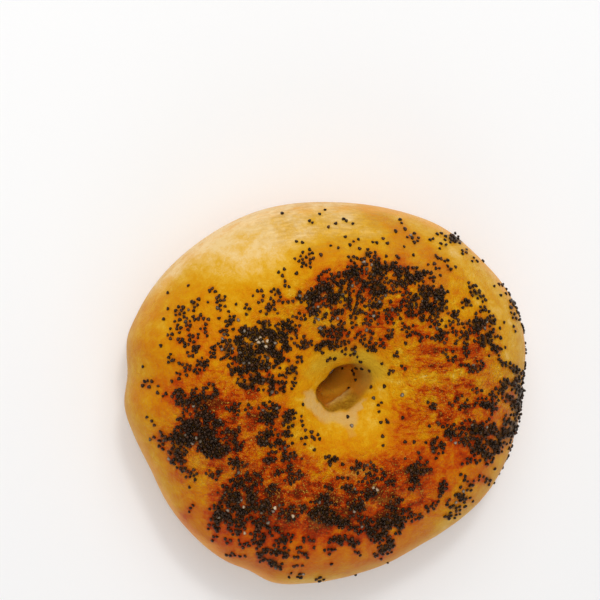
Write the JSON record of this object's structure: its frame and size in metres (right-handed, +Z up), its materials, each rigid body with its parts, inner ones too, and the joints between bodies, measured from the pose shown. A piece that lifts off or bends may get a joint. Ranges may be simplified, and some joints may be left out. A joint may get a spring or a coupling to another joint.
{
  "type": "bagel",
  "caption": "Puffed ring of bread with a small uneven hole and a flat underside, baked golden brown and strewn with poppy seeds on top.",
  "frame": {"origin": "on the surface that the bagel lies on, under the middle of its outline", "axes": "+Z up through the hole, from the flat underside to the seeded top; +X across the bagel's widest way"},
  "size_m": [0.1128, 0.1072, 0.0396],
  "materials": {
    "baked_crust": "satin",
    "poppy_seed": "satin"
  },
  "bodies": {
    "root": {"bagel": "baked_crust"}
  },
  "joints": []
}
